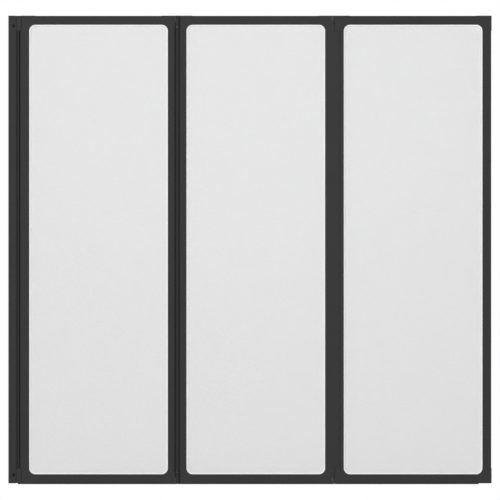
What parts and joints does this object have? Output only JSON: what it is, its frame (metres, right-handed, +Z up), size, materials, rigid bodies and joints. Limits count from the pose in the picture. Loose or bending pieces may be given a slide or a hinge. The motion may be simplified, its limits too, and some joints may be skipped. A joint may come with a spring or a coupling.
{
  "type": "shower screen",
  "caption": "Folding bath screen: framed translucent panels hinged to each other and to a wall post, with a soft seal along the foot.",
  "frame": {"origin": "centre of the wall profile's back face, in the middle of the screen's height and depth", "axes": "+X along the unfolded screen away from the wall, +Y through the screen from its front to its back, +Z up"},
  "size_m": [1.3, 0.036, 1.2607],
  "materials": {
    "profile": "black powder coat on aluminium extrusion, fine texture, semi-matt",
    "block": "black moulded nylon, fine grain",
    "sheet": "whitish translucent plastic with a fine pressed texture",
    "gasket": "soft white gasket, satin",
    "seal": "soft black rubber, matt",
    "screw": "steel, blackened",
    "pin": "turned stainless steel",
    "washer": "dark nylon, smooth"
  },
  "bodies": {
    "wall_mount": {"wall_profile": "profile", "wall_post": "profile", "wall_post_top_block": "block", "wall_post_bottom_block": "block", "wall_post_screws": "screw", "wall_hinge_washers": "washer"},
    "panel_1": {"panel_1_left_stile": "profile", "panel_1_right_stile": "profile", "panel_1_top_rail": "profile", "panel_1_bottom_rail": "profile", "panel_1_top_left_block": "block", "panel_1_top_right_block": "block", "panel_1_bottom_left_block": "block", "panel_1_bottom_right_block": "block", "panel_1_sheet": "sheet", "panel_1_gasket": "gasket", "panel_1_bottom_seal": "seal", "panel_1_corner_screws": "screw", "wall_hinge_top_pin": "pin", "wall_hinge_bottom_pin": "pin", "fold_hinge_1_washers": "washer"},
    "panel_2": {"panel_2_left_stile": "profile", "panel_2_right_stile": "profile", "panel_2_top_rail": "profile", "panel_2_bottom_rail": "profile", "panel_2_top_left_block": "block", "panel_2_top_right_block": "block", "panel_2_bottom_left_block": "block", "panel_2_bottom_right_block": "block", "panel_2_sheet": "sheet", "panel_2_gasket": "gasket", "panel_2_bottom_seal": "seal", "panel_2_corner_screws": "screw", "fold_hinge_1_top_pin": "pin", "fold_hinge_1_bottom_pin": "pin", "fold_hinge_2_washers": "washer"},
    "panel_3": {"panel_3_left_stile": "profile", "panel_3_right_stile": "profile", "panel_3_top_rail": "profile", "panel_3_bottom_rail": "profile", "panel_3_top_left_block": "block", "panel_3_top_right_block": "block", "panel_3_bottom_left_block": "block", "panel_3_bottom_right_block": "block", "panel_3_sheet": "sheet", "panel_3_gasket": "gasket", "panel_3_bottom_seal": "seal", "panel_3_corner_screws": "screw", "fold_hinge_2_top_pin": "pin", "fold_hinge_2_bottom_pin": "pin"}
  },
  "joints": [
    {"name": "wall_hinge", "type": "hinge", "parent": "wall_mount", "child": "panel_1", "pos_m": [0.0282, 0.004, 0], "axis": [0, 0, 1], "range_deg": [0, 90]},
    {"name": "fold_1", "type": "hinge", "parent": "panel_1", "child": "panel_2", "pos_m": [0.454, -0.0125, 0], "axis": [0, 0, -1], "range_deg": [0, 180]},
    {"name": "fold_2", "type": "hinge", "parent": "panel_2", "child": "panel_3", "pos_m": [0.8772, 0.0125, 0], "axis": [0, 0, 1], "range_deg": [0, 180]}
  ]
}
